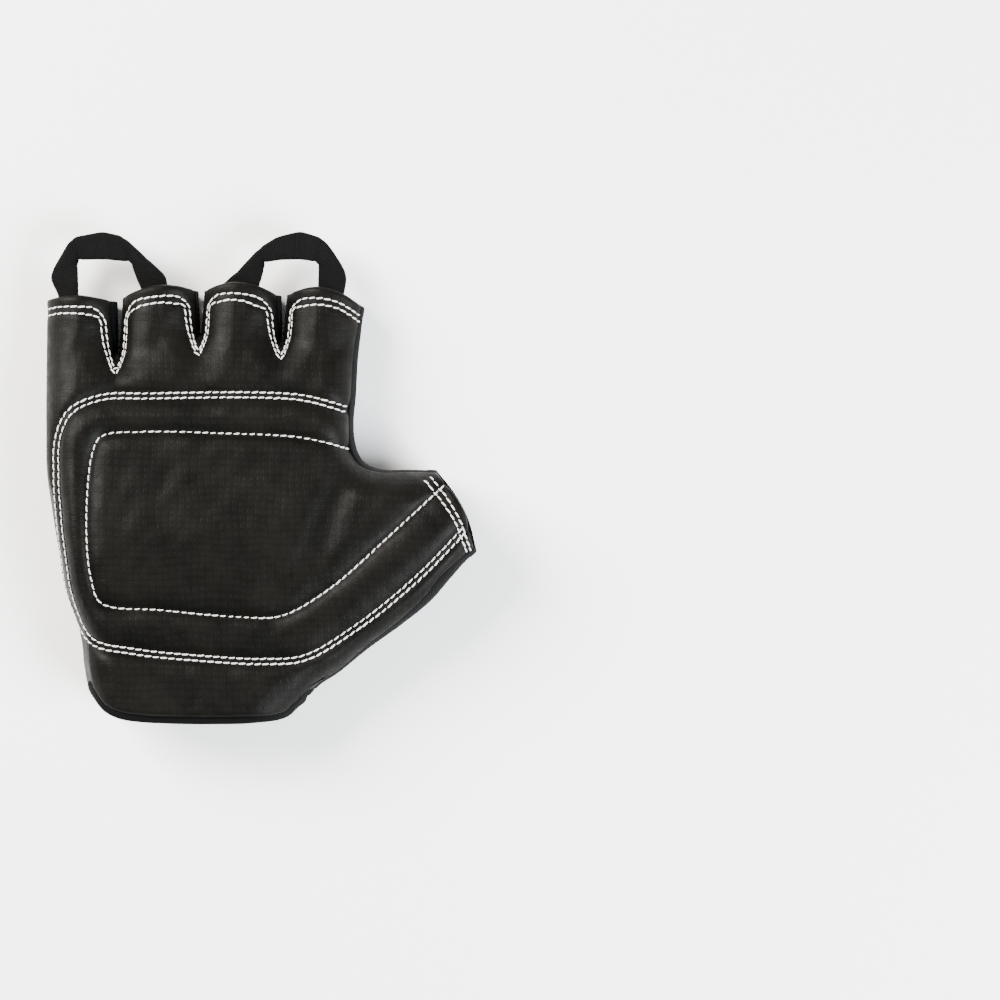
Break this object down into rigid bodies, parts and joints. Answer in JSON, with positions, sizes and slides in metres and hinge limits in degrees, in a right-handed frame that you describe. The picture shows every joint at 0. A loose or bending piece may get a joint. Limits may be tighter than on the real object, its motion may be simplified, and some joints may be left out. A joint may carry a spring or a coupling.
{
  "type": "weightlifting glove",
  "caption": "Right-hand fingerless training glove with quilted leather palm, mesh and knit back, wrist strap and webbing pull loops.",
  "frame": {"origin": "under the middle of the glove's box, on the surface that it lies on", "axes": "+Y from the wrist to the fingertips, +X towards the thumb, +Z out of the palm, which faces up"},
  "size_m": [0.1558, 0.177, 0.0351],
  "materials": {
    "leather": "embossed black synthetic leather, satin",
    "mesh": "knitted spacer mesh, matt",
    "knit": "brushed stretch knit, matt",
    "gusset": "smooth stretch knit",
    "tape": "folded binding tape",
    "webbing": "ribbed webbing",
    "patch": "bare smooth moulded patch"
  },
  "bodies": {
    "root": {"palm_leather": "leather", "back_mesh": "mesh", "back_knit": "knit", "cuff_binding": "tape", "gusset_little": "gusset", "gusset_middle": "gusset", "gusset_index": "gusset", "wrist_strap": "mesh", "strap_binding": "tape", "strap_patch": "patch", "pull_loop_outer": "webbing", "pull_loop_inner": "webbing"}
  },
  "joints": []
}
